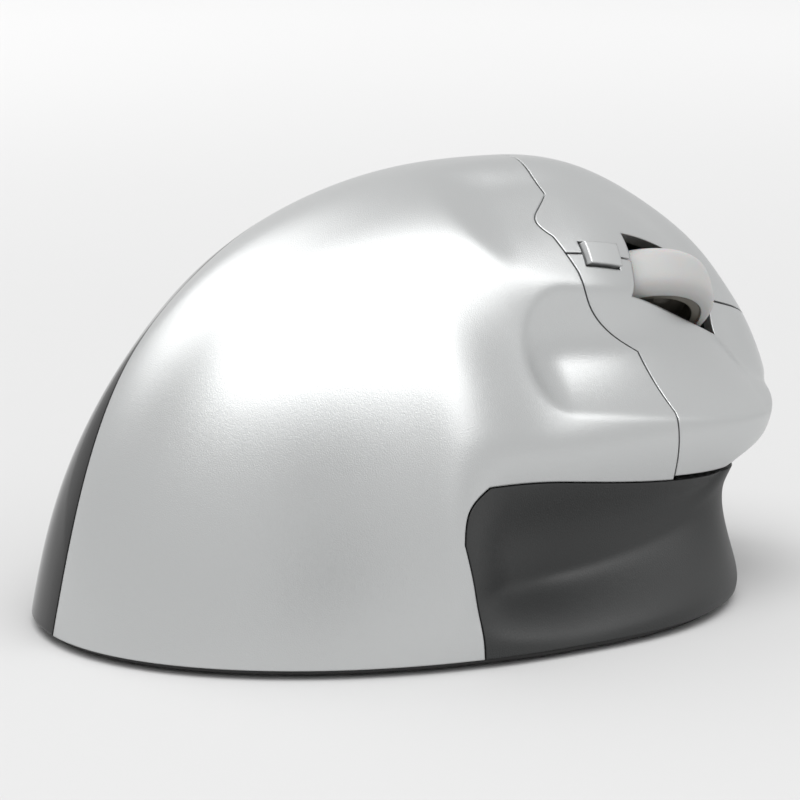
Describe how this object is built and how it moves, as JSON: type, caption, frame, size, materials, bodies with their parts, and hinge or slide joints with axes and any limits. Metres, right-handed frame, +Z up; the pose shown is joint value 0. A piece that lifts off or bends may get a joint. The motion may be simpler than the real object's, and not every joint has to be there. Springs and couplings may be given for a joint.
{
  "type": "computer mouse",
  "caption": "Upright right-handed cordless mouse: a tall hand-shaped shell with two finger buttons, a scroll wheel, thumb keys and a hollowed side grip.",
  "frame": {"origin": "on the desk under the centre of the bounding box", "axes": "+Y to the front, where the wheel and buttons are; +X to the user's right; +Z up"},
  "size_m": [0.0809, 0.136, 0.0733],
  "materials": {
    "silver_shell": "satin metallic paint on moulded plastic",
    "silver_small": "satin metallic paint on moulded plastic",
    "black_gloss": "high gloss",
    "thumb_keys": "semi gloss",
    "grip_rubber": "fine satin soft-touch coat",
    "base_black": "fine texture",
    "glide_white": "smooth low-friction plastic",
    "screw_steel": "zinc plated",
    "board_green": "solder mask over glass fibre",
    "chip_black": "moulded epoxy and nylon",
    "capacitor_sleeve": "printed shrink sleeve",
    "lens_clear": "clear moulded optic",
    "plunger_white": "natural nylon",
    "frame_black": "plain moulded",
    "nickel": "nickel plated spring steel",
    "cell_label": "printed shrink label, left plain",
    "axle_steel": "turned steel",
    "wheel_rubber": "milky translucent silicone",
    "hub_white": "natural nylon"
  },
  "bodies": {
    "case": {"palm_shell": "silver_shell", "thumb_shell": "black_gloss", "grip_panel": "grip_rubber", "base_plate": "base_black", "foot_front": "glide_white", "foot_rear": "glide_white", "foot_left": "glide_white", "foot_right": "glide_white", "base_screws": "screw_steel", "main_pcb": "board_green", "pcb_screws": "screw_steel", "sensor_chip": "chip_black", "sensor_lens": "lens_clear", "radio_chip": "chip_black", "capacitor": "capacitor_sleeve", "power_switch": "chip_black", "pair_switch": "chip_black", "battery_tray": "frame_black", "contact_plates": "nickel", "contact_springs": "nickel", "chassis": "frame_black", "pivot_pin": "axle_steel", "button_pcb": "board_green", "index_switch": "chip_black", "middle_switch": "chip_black", "click_switch": "chip_black", "dpi_switch": "chip_black", "thumb_pcb": "board_green", "back_switch": "chip_black", "forward_switch": "chip_black"},
    "index_key": {"index_button": "silver_shell"},
    "middle_key": {"middle_button": "silver_shell"},
    "index_pin": {"index_plunger": "plunger_white"},
    "middle_pin": {"middle_plunger": "plunger_white"},
    "carrier": {"wheel_carrier": "frame_black", "encoder": "chip_black"},
    "wheel": {"wheel_tyre": "wheel_rubber", "wheel_hub": "hub_white", "wheel_axle": "axle_steel"},
    "click_pin": {"click_plunger": "plunger_white"},
    "dpi_key": {"dpi_button": "silver_small"},
    "back_key": {"back_button": "thumb_keys"},
    "forward_key": {"forward_button": "thumb_keys"},
    "power_slider": {"power_knob": "plunger_white"},
    "pair_key": {"pair_button": "plunger_white"},
    "door": {"battery_door": "base_black"},
    "cells": {"battery_a": "cell_label", "battery_b": "cell_label"},
    "receiver": {"receiver_cap": "frame_black", "receiver_plug": "nickel"}
  },
  "joints": [
    {"name": "index_press", "type": "hinge", "parent": "case", "child": "index_key", "pos_m": [0.00462, 0.01252, 0.05327], "axis": [-0.6111, 0.049, 0.7901], "range_deg": [0, 0.8], "stiffness_Nm_per_rad": 1.5, "springref_deg": -0.34},
    {"name": "middle_press", "type": "hinge", "parent": "case", "child": "middle_key", "pos_m": [0.00462, 0.01252, 0.05327], "axis": [-0.6111, 0.049, 0.7901], "range_deg": [0, 0.8], "stiffness_Nm_per_rad": 1.5, "springref_deg": -0.34},
    {"name": "index_pin_slide", "type": "slide", "parent": "case", "child": "index_pin", "axis": [-0.6998, -0.4999, -0.5102], "range_m": [0, 0.0005]},
    {"name": "middle_pin_slide", "type": "slide", "parent": "case", "child": "middle_pin", "axis": [-0.6998, -0.4999, -0.5102], "range_m": [0, 0.0006]},
    {"name": "wheel_click", "type": "hinge", "parent": "case", "child": "carrier", "pos_m": [0.00203, 0.01857, 0.05089], "axis": [-0.6111, 0.049, 0.7901], "range_deg": [0, 1.2], "stiffness_Nm_per_rad": 0.8, "springref_deg": -0.69},
    {"name": "wheel_spin", "type": "hinge", "parent": "carrier", "child": "wheel", "pos_m": [-0.0008, 0.038, 0.0475], "axis": [0.6111, -0.049, -0.7901], "continuous": true},
    {"name": "click_pin_slide", "type": "slide", "parent": "case", "child": "click_pin", "axis": [-0.6998, -0.4999, -0.5102], "range_m": [0, 0.0006]},
    {"name": "dpi_press", "type": "slide", "parent": "case", "child": "dpi_key", "axis": [-0.6998, -0.4999, -0.5102], "range_m": [0, 0.0004], "stiffness_N_per_m": 1500, "springref_m": -0.0001},
    {"name": "back_press", "type": "slide", "parent": "case", "child": "back_key", "axis": [0.8601, 0, -0.5101], "range_m": [0, 0.0004], "stiffness_N_per_m": 1500, "springref_m": -0.0001},
    {"name": "forward_press", "type": "slide", "parent": "case", "child": "forward_key", "axis": [0.8601, 0, -0.5101], "range_m": [0, 0.0004], "stiffness_N_per_m": 1500, "springref_m": -0.0001},
    {"name": "power_slide", "type": "slide", "parent": "case", "child": "power_slider", "axis": [0, 1, 0], "range_m": [0, 0.003]},
    {"name": "pair_press", "type": "slide", "parent": "case", "child": "pair_key", "axis": [0, 0, 1], "range_m": [0, 0.0004], "stiffness_N_per_m": 800, "springref_m": -0.0001},
    {"name": "door_lift", "type": "slide", "parent": "case", "child": "door", "axis": [0, 0, -1], "range_m": [0, 0.03]},
    {"name": "cells_lift", "type": "slide", "parent": "case", "child": "cells", "axis": [0, 0, -1], "range_m": [0, 0.016]},
    {"name": "receiver_pull", "type": "slide", "parent": "case", "child": "receiver", "axis": [0, 0, -1], "range_m": [0, 0.022]}
  ],
  "couplings": [
    {"joint": "index_pin_slide", "follows": "index_press", "m_per_rad": 0.026},
    {"joint": "middle_pin_slide", "follows": "middle_press", "m_per_rad": 0.0355},
    {"joint": "click_pin_slide", "follows": "wheel_click", "m_per_rad": 0.021},
    {"joint": "cells_lift", "follows": "door_lift", "ratio": 0.5}
  ]
}
